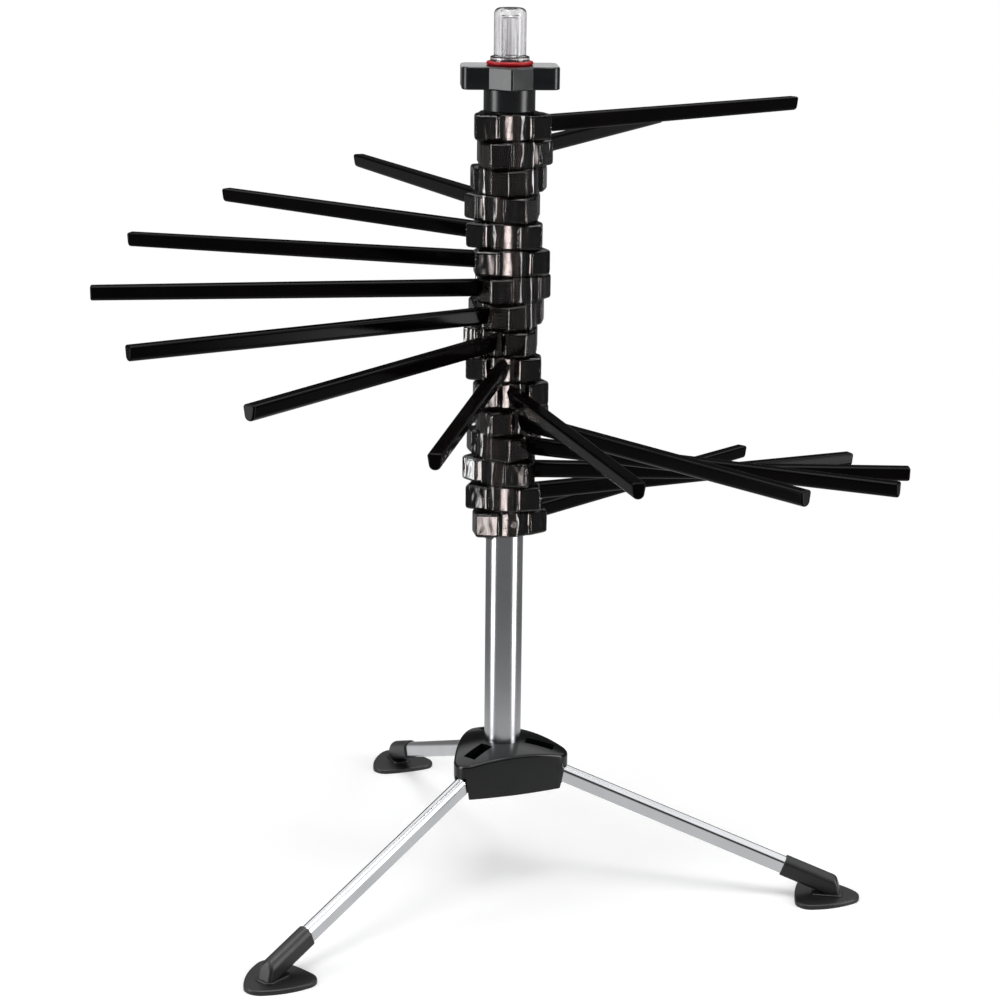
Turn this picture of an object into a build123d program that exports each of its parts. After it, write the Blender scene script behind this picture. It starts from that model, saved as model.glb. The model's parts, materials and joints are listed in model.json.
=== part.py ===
from build123d import *
import os
from math import cos, degrees, radians, sin, tan

# Pasta drying rack. Sixteen arms stand on sixteen rings that are threaded on a
# post, a knob on top clamps them, and a hub below carries three folding legs.
# Millimetres, +Z up. The origin is on the floor, on the axis of the post, and
# azimuths are counted from +X towards +Y.

os.makedirs("parts", exist_ok=True)

# Fits and working gaps
running_gap = 0.08
stop_gap = 0.1
cut_over = 5.0

# Post
post_radius = 10.0
post_wall = 1.5
post_length = 376.1

# Rings and their arms, counted from the top
ring_count = 16
ring_pitch = 14.0
ring_wall = 5.82
ring_edge = 1.2
first_arm_azimuth = 41.05
arm_step = 24.51
lobe_count = 3
lobe_half_width = 9.6
lobe_reach = 7.4
lobe_slope_depth = 7.6
lobe_root_depth = 4.9
lobe_inset = 0.3
lobe_edge_round = 1.8
lobe_ridge_round = 0.8

# Lug below each ring, in the pocket on top of the next
lug_land = 1.4
lug_width = 2.2
lug_height = 2.0
lug_half_angle = 12.0
lug_gap = 0.25

# Arms: a flat top, two leaning sides and a round keel
arm_tip_radius = 216.0
arm_seat_depth = 3.5
arm_below_middle = 0.75
arm_root_width = 8.0
arm_root_height = 9.0
arm_tip_width = 7.0
arm_tip_height = 7.8
arm_corner = 1.3
arm_keel = 2.9
arm_tip_round = 1.0

# Screw that holds the lowest ring on the post
lock_screw_radius = 1.6
lock_screw_sink = 0.5
lock_screw_from_arm = 240.0
lock_key_radius = 0.9
lock_key_depth = 1.8

# Clamp at the top of the post
collar_wall = 3.3
collar_height = 12.0
collar_edge = 0.5
post_over_collar = 1.5
knob_height = 11.6
knob_half_length = 25.1
knob_half_depth = 15.0
knob_lobe_half_width = 11.2
knob_lobe_reach = 24.5
knob_end_round = 4.5
knob_ridge_round = 1.2
knob_edge_round = 0.8
knob_turn = 3.0
bush_flange = 1.2
bush_depth = 22.0
bush_nose_height = 7.4
bush_nose_wall = 1.1
bush_flange_gap = 0.4
thread_gap = 0.1

# Wand, kept in the post, and the ring that it stands on
wand_rod_radius = 6.7
wand_rod_end_radius = 6.2
wand_rod_length = 190.0
wand_gap = 0.4
wand_wall = 1.7
wand_grip_radius = 8.3
wand_grip_length = 24.3
wand_grip_round = 3.0
wand_crown = 3.5
wand_flange_radius = 10.1
wand_flange_height = 2.5
seat_ring_width = 5.0
seat_ring_height = 2.0
seat_ring_round = 0.8

# Legs: centre lines that fall to the floor at one radius
leg_count = 3
first_leg_azimuth = 231.0
leg_droop = 20.15
leg_floor_radius = 204.4
pivot_radius = 24.0
leg_width = 7.0
leg_height = 9.15
leg_corner = 1.0
leg_wall = 1.0
knuckle_neck = 7.0
knuckle_plug = 22.0
pin_radius = 2.0
pin_length = 18.0
pin_running_gap = 0.05

# Feet
sleeve_before_floor = 51.0
sleeve_wall = 1.0
tube_insert = 25.0
toe_before_floor = 16.0
toe_angle = 75.0
toe_round = 1.2
skirt_length = 17.0
skirt_width = 1.1
skirt_height = 1.0
skirt_round = 3.0
pad_thickness = 2.5
pad_before_floor = 3.4
pad_length = 35.5
pad_base_bow = 2.2
pad_half_width = 19.8
pad_side_half_width = 15.4
pad_side_share = 0.5
pad_base_round = 8.0
pad_toe_round = 9.0
pad_edge_round = 1.0

# Hub
hub_below_pivot = 11.8
hub_above_pivot = 14.1
hub_corner_reach = 27.4
hub_corner_round = 8.9
hub_side_reach = 24.0
hub_dome_radius = 103.0
hub_rim_round = 1.3
hub_draft = 2.0
hub_floor = 5.5
hub_boss_wall = 3.0
hub_slot_gap = 0.45
hub_cap_start = 28.5
hub_screw_radius = 2.0
hub_screw_gap = 0.2
hub_screw_head_radius = 3.6
hub_screw_head_height = 2.4
hub_screw_engagement = 12.0
hub_key_radius = 1.7
hub_key_depth = 1.4
washer_radius = 5.2
washer_thickness = 0.8
head_recess_gap = 0.4
foot_plug_length = 18.0

# Heights, from the floor up
pivot_height = (leg_floor_radius - pivot_radius) * tan(radians(leg_droop))
hub_bottom = pivot_height - hub_below_pivot
hub_top = pivot_height + hub_above_pivot
post_bottom = hub_bottom + hub_floor
post_top = post_bottom + post_length
knob_bottom = post_top - post_over_collar
collar_bottom = knob_bottom - collar_height
stack_bottom = collar_bottom - ring_count * ring_pitch
knob_top = knob_bottom + knob_height
wand_seat = knob_top + seat_ring_height

# Radii that follow the post
ring_bore = post_radius + running_gap
ring_radius = ring_bore + ring_wall
ring_height = ring_pitch - stop_gap
lug_inner = ring_bore + lug_land
lug_outer = lug_inner + lug_width
bush_bore = wand_rod_radius + wand_gap
bush_nose_radius = bush_bore + bush_nose_wall
post_bore = post_radius - post_wall


def arm_azimuth(number):
    return first_arm_azimuth + arm_step * (number - 1)


def ring_base(number):
    return stack_bottom + (ring_count - number) * ring_pitch


def upright(azimuth):
    """A vertical plane through the post: x runs outward along azimuth, y runs up."""
    turn = radians(azimuth)
    return Plane((0, 0, 0), x_dir=(cos(turn), sin(turn), 0), z_dir=(sin(turn), -cos(turn), 0))


def placed_copy(form, name, azimuth, height):
    """Writes a copy of a form that was drawn along +X, turned and lifted to its place."""
    with BuildPart() as piece:
        with Locations(Location((0, 0, height), (0, 0, azimuth))):
            add(form.part)
    piece.part.label = name
    export_step(piece.part, f"parts/{name}.step")


def arc_band(height, inner, outer, start, sweep):
    """A level face between two arcs about the post."""
    with BuildSketch(Plane.XY.offset(height)) as band:
        with BuildLine():
            inside = CenterArc((0, 0), inner, start, sweep)
            outside = CenterArc((0, 0), outer, start, sweep)
            Line(inside @ 0, outside @ 0)
            Line(inside @ 1, outside @ 1)
        make_face()
    return band.sketch


# Arm, drawn along +X at its height in the ring
arm_middle = ring_height / 2 - arm_below_middle
arm_root_radius = ring_radius - arm_seat_depth


def arm_section(radius, width, height):
    """The flat top, leaning sides and round keel of an arm, square to it."""
    across = Plane((radius, 0, arm_middle), x_dir=(0, 1, 0), z_dir=(1, 0, 0))
    with BuildSketch(across) as section:
        with Locations(
            (width / 2 - arm_corner, height / 2 - arm_corner),
            (arm_corner - width / 2, height / 2 - arm_corner),
        ):
            Circle(arm_corner)
        with Locations((0, arm_keel - height / 2)):
            Circle(arm_keel)
        make_hull()
    return section.sketch


with BuildPart() as arm_form:
    root = arm_section(arm_root_radius, arm_root_width, arm_root_height)
    tip = arm_section(arm_tip_radius, arm_tip_width, arm_tip_height)
    loft([root, tip], ruled=True)
    fillet(arm_form.faces().sort_by(Axis.X)[-1].edges(), arm_tip_round)

# Ring, drawn with its arm along +X and its lower face at zero
lobe_first_angle = 180.0 / lobe_count
lobe_ridge = ring_radius + lobe_reach
lobe_shoulder = lobe_ridge - lobe_slope_depth
lobe_root = ring_radius - lobe_root_depth
lug_centre_angle = 180.0
lug_gap_angle = degrees(stop_gap / lug_inner)
pocket_start_angle = lug_centre_angle - arm_step - lug_half_angle - lug_gap_angle
pocket_sweep = arm_step + 2 * (lug_half_angle + lug_gap_angle)
pocket_depth = lug_height - stop_gap + lug_gap

with BuildPart() as ring_form:
    with BuildSketch(Plane.XY.offset(lobe_inset)) as lobes:
        with PolarLocations(0, lobe_count, start_angle=lobe_first_angle):
            Polygon(
                (lobe_root, -lobe_half_width),
                (lobe_shoulder, -lobe_half_width),
                (lobe_ridge, 0),
                (lobe_shoulder, lobe_half_width),
                (lobe_root, lobe_half_width),
                align=None,
            )
        ridges = [v for v in lobes.vertices() if abs(v.center().length - lobe_ridge) < stop_gap]
        fillet(ridges, lobe_ridge_round)
    extrude(amount=ring_height - 2 * lobe_inset)
    levels = ring_form.edges().group_by(Axis.Z)
    fillet(levels[0] + levels[-1], lobe_edge_round)
    with BuildSketch(Plane.XZ):
        Polygon(
            (ring_bore, 0),
            (ring_radius - ring_edge, 0),
            (ring_radius, ring_edge),
            (ring_radius, ring_height - ring_edge),
            (ring_radius - ring_edge, ring_height),
            (ring_bore, ring_height),
            align=None,
        )
    revolve(axis=Axis.Z)
    pocket = arc_band(
        ring_height, lug_inner - lug_gap, lug_outer + lug_gap, pocket_start_angle, pocket_sweep
    )
    extrude(pocket, amount=-pocket_depth, mode=Mode.SUBTRACT)
    lug = arc_band(0, lug_inner, lug_outer, lug_centre_angle - lug_half_angle, 2 * lug_half_angle)
    extrude(lug, amount=-lug_height)
    add(arm_form.part, mode=Mode.SUBTRACT)

for number in range(1, ring_count):
    placed_copy(ring_form, f"ring_{number:02d}", arm_azimuth(number), ring_base(number))
for number in range(1, ring_count + 1):
    placed_copy(arm_form, f"arm_{number:02d}", arm_azimuth(number), ring_base(number))

# Lowest ring, drilled for the screw that holds it on the post
lock_azimuth = radians(arm_azimuth(ring_count) + lock_screw_from_arm)
lock_plane = Plane(
    (0, 0, ring_base(ring_count) + ring_height / 2),
    z_dir=(cos(lock_azimuth), sin(lock_azimuth), 0),
)
with BuildPart() as ring_16:
    with Locations(Location((0, 0, ring_base(ring_count)), (0, 0, arm_azimuth(ring_count)))):
        add(ring_form.part)
    with BuildSketch(lock_plane):
        Circle(lock_screw_radius)
    extrude(amount=ring_radius + cut_over, mode=Mode.SUBTRACT)
ring_16.part.label = "ring_16"
export_step(ring_16.part, "parts/ring_16.step")

lock_screw_outer = ring_radius - lock_screw_sink
with BuildPart() as ring_lock_screw:
    with BuildSketch(lock_plane.offset(post_bore)):
        Circle(lock_screw_radius)
    extrude(amount=lock_screw_outer - post_bore)
    with BuildSketch(lock_plane.offset(lock_screw_outer)):
        RegularPolygon(lock_key_radius, 6)
    extrude(amount=-lock_key_depth, mode=Mode.SUBTRACT)
ring_lock_screw.part.label = "ring_lock_screw"
export_step(ring_lock_screw.part, "parts/ring_lock_screw.step")

# Post, one tube from the hub up into the knob
with BuildPart() as post_tube:
    with BuildSketch(Plane.XY.offset(post_bottom)):
        Circle(post_radius)
        Circle(post_bore, mode=Mode.SUBTRACT)
    extrude(amount=post_length)
    with BuildSketch(lock_plane):
        Circle(lock_screw_radius)
    extrude(amount=post_radius + cut_over, mode=Mode.SUBTRACT)
post_tube.part.label = "post_tube"
export_step(post_tube.part, "parts/post_tube.step")

# Threaded bush in the top of the post, bored for the wand
flange_top = post_top + bush_flange
with BuildPart() as top_bush:
    with BuildSketch(Plane.XZ):
        Polygon(
            (bush_bore, post_top - bush_depth),
            (post_bore, post_top - bush_depth),
            (post_bore, post_top),
            (post_radius, post_top),
            (post_radius, flange_top),
            (bush_nose_radius, flange_top),
            (bush_nose_radius, flange_top + bush_nose_height),
            (bush_bore, flange_top + bush_nose_height),
            align=None,
        )
    revolve(axis=Axis.Z)
top_bush.part.label = "top_bush"
export_step(top_bush.part, "parts/top_bush.step")

# Collar that the knob presses on the rings
with BuildPart() as clamp_collar:
    with BuildSketch(Plane.XY.offset(collar_bottom)):
        Circle(ring_bore + collar_wall)
    extrude(amount=collar_height - stop_gap)
    chamfer(clamp_collar.edges(), collar_edge)
    with BuildSketch(Plane.XY.offset(collar_bottom)):
        Circle(ring_bore)
    extrude(amount=collar_height, mode=Mode.SUBTRACT)
clamp_collar.part.label = "clamp_collar"
export_step(clamp_collar.part, "parts/clamp_collar.step")

# Knob: two square wings along X and a wedge lobe in front and behind
knob_turned = radians(knob_turn)
knob_plane = Plane((0, 0, knob_bottom), x_dir=(cos(knob_turned), sin(knob_turned), 0))
knob_recess = flange_top + bush_flange_gap - knob_bottom
with BuildPart() as clamp_knob:
    with BuildSketch(knob_plane) as knob_outline:
        RectangleRounded(2 * knob_half_length, 2 * knob_half_depth, knob_end_round)
        Polygon(
            (knob_lobe_half_width, knob_half_depth),
            (0, knob_lobe_reach),
            (-knob_lobe_half_width, knob_half_depth),
            (-knob_lobe_half_width, -knob_half_depth),
            (0, -knob_lobe_reach),
            (knob_lobe_half_width, -knob_half_depth),
            align=None,
        )
        ridges = knob_outline.vertices().sort_by(Axis.Y)
        fillet([ridges[0], ridges[-1]], knob_ridge_round)
    extrude(amount=knob_height)
    levels = clamp_knob.edges().group_by(Axis.Z)
    fillet(levels[0] + levels[-1], knob_edge_round)
    with BuildSketch(Plane.XY.offset(knob_bottom)):
        Circle(post_radius + bush_flange_gap)
    extrude(amount=knob_recess, mode=Mode.SUBTRACT)
    with BuildSketch(Plane.XY.offset(knob_bottom)):
        Circle(bush_nose_radius + thread_gap)
    extrude(amount=knob_height, mode=Mode.SUBTRACT)
clamp_knob.part.label = "clamp_knob"
export_step(clamp_knob.part, "parts/clamp_knob.step")

with BuildPart() as wand_seat_ring:
    with BuildSketch(Plane.XY.offset(knob_top)):
        Circle(bush_bore + seat_ring_width)
        Circle(bush_bore, mode=Mode.SUBTRACT)
    extrude(amount=seat_ring_height)
    rims = wand_seat_ring.edges().filter_by(GeomType.CIRCLE).group_by(SortBy.RADIUS)
    fillet(rims[-1], seat_ring_round)
wand_seat_ring.part.label = "wand_seat_ring"
export_step(wand_seat_ring.part, "parts/wand_seat_ring.step")

# Clear wand: a closed grip, a flange and a hollow rod that hangs in the post
wand_bottom = wand_seat - wand_rod_length
wand_top = wand_seat + wand_flange_height + wand_grip_length
wand_core = wand_rod_end_radius - wand_wall
with BuildPart() as pasta_wand:
    with BuildSketch(Plane.XZ) as wand_profile:
        Polygon(
            (wand_core, wand_bottom),
            (wand_rod_end_radius, wand_bottom),
            (wand_rod_radius, wand_seat),
            (wand_flange_radius, wand_seat),
            (wand_flange_radius, wand_seat + wand_flange_height),
            (wand_grip_radius, wand_seat + wand_flange_height),
            (wand_grip_radius, wand_top),
            (0, wand_top),
            (0, wand_top - wand_crown),
            (wand_core, wand_top - wand_crown),
            align=None,
        )
        crown_corner = wand_profile.vertices().group_by(Axis.Y)[-1].sort_by(Axis.X)[-1]
        fillet(crown_corner, wand_grip_round)
    revolve(axis=Axis.Z)
pasta_wand.part.label = "pasta_wand"
export_step(pasta_wand.part, "parts/pasta_wand.step")

# Legs share one centre line, drawn here along +X and falling to the floor
droop = radians(leg_droop)
leg_centre = (pivot_radius, 0, pivot_height)
leg_side = Plane(leg_centre, x_dir=(cos(droop), 0, -sin(droop)), z_dir=(0, -1, 0))
leg_section = Plane(leg_centre, x_dir=(0, 1, 0), z_dir=(cos(droop), 0, -sin(droop)))
floor_distance = (leg_floor_radius - pivot_radius) / cos(droop)
sleeve_start = floor_distance - sleeve_before_floor
tube_end = sleeve_start + tube_insert


def leg_arch(along, outset, corner):
    """The leg's section, grown by outset: a round top, flat sides and a flat bottom."""
    half_width = leg_width / 2 + outset
    arch_centre = (leg_height - leg_width) / 2
    with BuildSketch(leg_section.offset(along)) as arch:
        with Locations((0, arch_centre)):
            Rectangle(
                2 * half_width,
                arch_centre + leg_height / 2 + outset,
                align=(Align.CENTER, Align.MAX),
            )
            if corner > 0:
                fillet(arch.vertices().group_by(Axis.Y)[0], corner)
            Circle(half_width)
    return arch.sketch


with BuildPart() as leg_tube_form:
    extrude(leg_arch(knuckle_neck, 0, leg_corner), amount=tube_end - knuckle_neck)
    bore = leg_arch(knuckle_neck, -leg_wall, 0)
    extrude(bore, amount=tube_end - knuckle_neck, mode=Mode.SUBTRACT)

with BuildPart() as knuckle_form:
    with BuildSketch(leg_side):
        Circle(leg_height / 2)
        Rectangle(knuckle_neck, leg_height, align=(Align.MIN, Align.CENTER))
    extrude(amount=leg_width / 2, both=True)
    extrude(leg_arch(knuckle_neck, -leg_wall, 0), amount=knuckle_plug)
    with BuildSketch(leg_side):
        Circle(pin_radius + pin_running_gap)
    extrude(amount=leg_width, both=True, mode=Mode.SUBTRACT)

# Foot: a sleeve over the tube that slopes down into a rounded triangular pad
pad_toe = leg_floor_radius - pad_before_floor
pad_base = pad_toe - pad_length
toe_slope = radians(toe_angle)
toe_plane = Plane(
    (leg_floor_radius - toe_before_floor, 0, pad_thickness),
    z_dir=(sin(toe_slope), 0, cos(toe_slope)),
)
with BuildPart() as sleeve_form:
    sleeve = leg_arch(sleeve_start, sleeve_wall, leg_corner + sleeve_wall)
    extrude(sleeve, amount=sleeve_before_floor)
    split(bisect_by=toe_plane, keep=Keep.BOTTOM)
    fillet(sleeve_form.faces().sort_by(Axis.X)[-1].edges(), toe_round)
    split(bisect_by=Plane.XY, keep=Keep.TOP)

with BuildPart() as foot_form:
    with BuildSketch(Plane.XY) as pad_outline:
        with BuildLine():
            side_radius = pad_base + pad_length * pad_side_share
            ThreePointArc(
                (pad_base, pad_half_width), (side_radius, pad_side_half_width), (pad_toe, 0)
            )
            ThreePointArc(
                (pad_toe, 0), (side_radius, -pad_side_half_width), (pad_base, -pad_half_width)
            )
            ThreePointArc(
                (pad_base, -pad_half_width),
                (pad_base - pad_base_bow, 0),
                (pad_base, pad_half_width),
            )
        make_face()
        fillet(pad_outline.vertices().sort_by(Axis.X)[-1], pad_toe_round)
        base_corners = pad_outline.vertices().sort_by(Axis.X)[:2]
        fillet(base_corners, pad_base_round)
    extrude(amount=pad_thickness)
    fillet(foot_form.edges().group_by(Axis.Z)[-1], pad_edge_round)
    with BuildSketch(Plane.XY.offset(pad_thickness)):
        skirt_toe = leg_floor_radius - toe_before_floor + skirt_width
        with Locations((skirt_toe - skirt_length / 2, 0)):
            skirt_across = leg_width + 2 * (sleeve_wall + skirt_width)
            RectangleRounded(skirt_length, skirt_across, skirt_round)
    extrude(amount=skirt_height)
    add(sleeve_form.part)
    socket = leg_arch(sleeve_start, 0, leg_corner)
    extrude(socket, amount=tube_insert, mode=Mode.SUBTRACT)

leg_azimuths = [first_leg_azimuth + 360.0 * leg / leg_count for leg in range(leg_count)]
for leg, azimuth in enumerate(leg_azimuths, start=1):
    placed_copy(leg_tube_form, f"leg_tube_{leg}", azimuth, 0)
    placed_copy(knuckle_form, f"leg_knuckle_{leg}", azimuth, 0)
    placed_copy(foot_form, f"foot_{leg}", azimuth, 0)

# Hub: a domed triangle with bowed sides and a slot for each leg
corner_along = hub_corner_reach * cos(radians(180.0 / leg_count))
side_inset = hub_side_reach - hub_corner_round
side_centre = (hub_corner_reach**2 - side_inset**2) / (2 * (side_inset - corner_along))
side_radius = side_centre + hub_side_reach
slot_half = leg_width / 2 + hub_slot_gap
slot_inner = post_radius + hub_boss_wall
slot_outer = hub_corner_reach + hub_corner_round + cut_over
cap_lift = (leg_height / 2 + stop_gap) / cos(droop)


def cap_underside(radius):
    return pivot_height + cap_lift - (radius - pivot_radius) * tan(droop)


def hub_outline(height, inset):
    """The hub's bowed triangle at a height, drawn in by inset."""
    with BuildSketch(Plane.XY.offset(height)) as outline:
        for step, azimuth in enumerate(leg_azimuths):
            opposite = radians(azimuth)
            with Locations((side_centre * cos(opposite), side_centre * sin(opposite))):
                Circle(side_radius - inset, mode=Mode.ADD if step == 0 else Mode.INTERSECT)
        fillet(outline.vertices(), hub_corner_round - inset)
    return outline.sketch


with BuildPart() as hub_body:
    extrude(hub_outline(pivot_height, 0), amount=hub_above_pivot + cut_over)
    loft([hub_outline(pivot_height, 0), hub_outline(hub_bottom, hub_draft)], ruled=True)
    with Locations((0, 0, hub_top - hub_dome_radius)):
        Sphere(hub_dome_radius, mode=Mode.INTERSECT)
    rim = hub_body.faces().sort_by(Axis.Z)[-1].edges()
    fillet(rim, hub_rim_round)
    for azimuth in leg_azimuths:
        with BuildSketch(upright(azimuth)):
            Polygon(
                (slot_inner, hub_bottom - cut_over),
                (slot_inner, hub_top + cut_over),
                (hub_cap_start, hub_top + cut_over),
                (hub_cap_start, cap_underside(hub_cap_start)),
                (slot_outer, cap_underside(slot_outer)),
                (slot_outer, hub_bottom - cut_over),
                align=None,
            )
        extrude(amount=slot_half, both=True, mode=Mode.SUBTRACT)
        with BuildSketch(upright(azimuth)):
            with Locations((pivot_radius, pivot_height)):
                Circle(pin_radius)
                Rectangle(
                    2 * pin_radius,
                    hub_below_pivot + cut_over,
                    align=(Align.CENTER, Align.MAX),
                )
        extrude(amount=pin_length / 2, both=True, mode=Mode.SUBTRACT)
    with BuildSketch(Plane.XY.offset(post_bottom)):
        Circle(post_radius)
    extrude(amount=hub_top - post_bottom + cut_over, mode=Mode.SUBTRACT)
    with BuildSketch(Plane.XY.offset(hub_bottom)):
        Circle(hub_screw_radius + hub_screw_gap)
    extrude(amount=hub_floor, mode=Mode.SUBTRACT)
    with BuildSketch(Plane.XY.offset(hub_bottom)):
        Circle(washer_radius + head_recess_gap)
    extrude(amount=washer_thickness + hub_screw_head_height, mode=Mode.SUBTRACT)
hub_body.part.label = "hub_body"
export_step(hub_body.part, "parts/hub_body.step")

# Pivot pins of the legs, pushed up their channels from below
with BuildPart() as leg_pins:
    for azimuth in leg_azimuths:
        with BuildSketch(upright(azimuth)):
            with Locations((pivot_radius, pivot_height)):
                Circle(pin_radius)
        extrude(amount=pin_length / 2, both=True)
leg_pins.part.label = "leg_pins"
export_step(leg_pins.part, "parts/leg_pins.step")

# Threaded plug in the foot of the post, and the screw that draws it down on the hub
washer_bottom = hub_bottom + hub_screw_head_height
washer_top = washer_bottom + washer_thickness
with BuildPart() as post_foot_plug:
    with BuildSketch(Plane.XY.offset(post_bottom)):
        Circle(post_bore)
        Circle(hub_screw_radius, mode=Mode.SUBTRACT)
    extrude(amount=foot_plug_length)
post_foot_plug.part.label = "post_foot_plug"
export_step(post_foot_plug.part, "parts/post_foot_plug.step")

with BuildPart() as hub_washer:
    with BuildSketch(Plane.XY.offset(washer_bottom)):
        Circle(washer_radius)
        Circle(hub_screw_radius + hub_screw_gap, mode=Mode.SUBTRACT)
    extrude(amount=washer_thickness)
hub_washer.part.label = "hub_washer"
export_step(hub_washer.part, "parts/hub_washer.step")

with BuildPart() as hub_screw:
    with BuildSketch(Plane.XY.offset(hub_bottom)):
        Circle(hub_screw_head_radius)
    extrude(amount=hub_screw_head_height)
    with BuildSketch(Plane.XY.offset(washer_bottom)):
        Circle(hub_screw_radius)
    extrude(amount=post_bottom + hub_screw_engagement - washer_bottom)
    with BuildSketch(Plane.XY.offset(hub_bottom)):
        RegularPolygon(hub_key_radius, 6)
    extrude(amount=hub_key_depth, mode=Mode.SUBTRACT)
hub_screw.part.label = "hub_screw"
export_step(hub_screw.part, "parts/hub_screw.step")
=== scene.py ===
import json
from math import cos, hypot, pi, radians, sin, tan

import bpy
from mathutils import Matrix, Vector


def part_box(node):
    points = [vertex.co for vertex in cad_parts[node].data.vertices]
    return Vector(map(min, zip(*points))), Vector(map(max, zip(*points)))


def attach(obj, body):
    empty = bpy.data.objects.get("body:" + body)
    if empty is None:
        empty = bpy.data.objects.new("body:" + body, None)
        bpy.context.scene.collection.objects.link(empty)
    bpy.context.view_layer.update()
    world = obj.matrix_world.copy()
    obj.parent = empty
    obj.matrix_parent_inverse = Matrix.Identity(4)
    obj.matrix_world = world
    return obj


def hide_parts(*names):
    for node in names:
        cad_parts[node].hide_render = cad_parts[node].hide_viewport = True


# Pasta drying rack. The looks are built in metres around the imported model.

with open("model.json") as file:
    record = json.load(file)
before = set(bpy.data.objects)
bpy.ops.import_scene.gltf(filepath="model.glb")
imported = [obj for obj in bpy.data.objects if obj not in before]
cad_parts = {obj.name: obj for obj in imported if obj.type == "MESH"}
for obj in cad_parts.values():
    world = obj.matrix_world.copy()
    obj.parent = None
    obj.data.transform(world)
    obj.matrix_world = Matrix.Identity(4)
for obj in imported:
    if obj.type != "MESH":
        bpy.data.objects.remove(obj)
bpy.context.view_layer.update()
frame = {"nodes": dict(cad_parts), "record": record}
print("stage: frame loaded,", len(frame["nodes"]), "nodes")


metresPerMm, mmPerMetre = 0.001, 1000.0


def mm(value):
    return value * metresPerMm


# Camera, worked out from where the arm tips, the feet and the post stand in the picture
cameraUser = {
    "lensMm": 87.79,
    "sensorMm": 36.0,
    "seesToM": 100,
    "placeMm": (0.0, -1265.39, 549.32),
    "pitchDown": 14.786,
    "yawLeft": 0.12,
    "roll": 0.616,
}


def setCamera(user):
    pitch, yaw, roll = (radians(user[key]) for key in ("pitchDown", "yawLeft", "roll"))
    level = Vector((cos(yaw), sin(yaw), 0))
    ahead = Vector((-sin(yaw) * cos(pitch), cos(yaw) * cos(pitch), -sin(pitch)))
    above = level.cross(ahead)
    right = level * cos(roll) + above * sin(roll)
    up = above * cos(roll) - level * sin(roll)
    data = bpy.data.cameras.new("camera")
    data.lens = user["lensMm"]
    data.sensor_width = user["sensorMm"]
    data.clip_end = user["seesToM"]
    camera = bpy.data.objects.new("camera", data)
    bpy.context.scene.collection.objects.link(camera)
    turned = Matrix((right, up, -ahead)).transposed().to_4x4()
    camera.matrix_world = Matrix.Translation([mm(v) for v in user["placeMm"]]) @ turned
    bpy.context.scene.camera = camera


setCamera(cameraUser)
bpy.context.scene.view_settings.view_transform = "Standard"
print("stage: camera set")


# Node and colour helpers
def linearColour(hexValue):
    shares = [int(hexValue[start:start + 2], 16) / 255 for start in (1, 3, 5)]
    linear = [s / 12.92 if s <= 0.04045 else ((s + 0.055) / 1.055) ** 2.4 for s in shares]
    return (*linear, 1.0)


def perMm(size):
    return mmPerMetre / size  # texture scale that gives a feature of this size in mm


def addNode(tree, kind, settings=None, links=None):
    node = tree.nodes.new(kind)
    for key, value in (settings or {}).items():
        if key in node.inputs:
            node.inputs[key].default_value = value
        else:
            setattr(node, key, value)
    for key, source in (links or {}).items():
        tree.links.new(source, node.inputs[key])
    return node


def newMaterial(name):
    material = bpy.data.materials.new(name)
    material.use_nodes = True
    tree = material.node_tree
    tree.nodes.clear()
    return material, tree


# How the noises of every surface are read: their detail, and the part of each that is used
patternUser = {
    "driftDetail": 3.0, "grainDetail": 4.0, "rippleDetail": 1.0,
    "colourFrom": 0.35, "colourTo": 0.65, "roughFrom": 0.3, "roughTo": 0.7,
}


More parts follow.
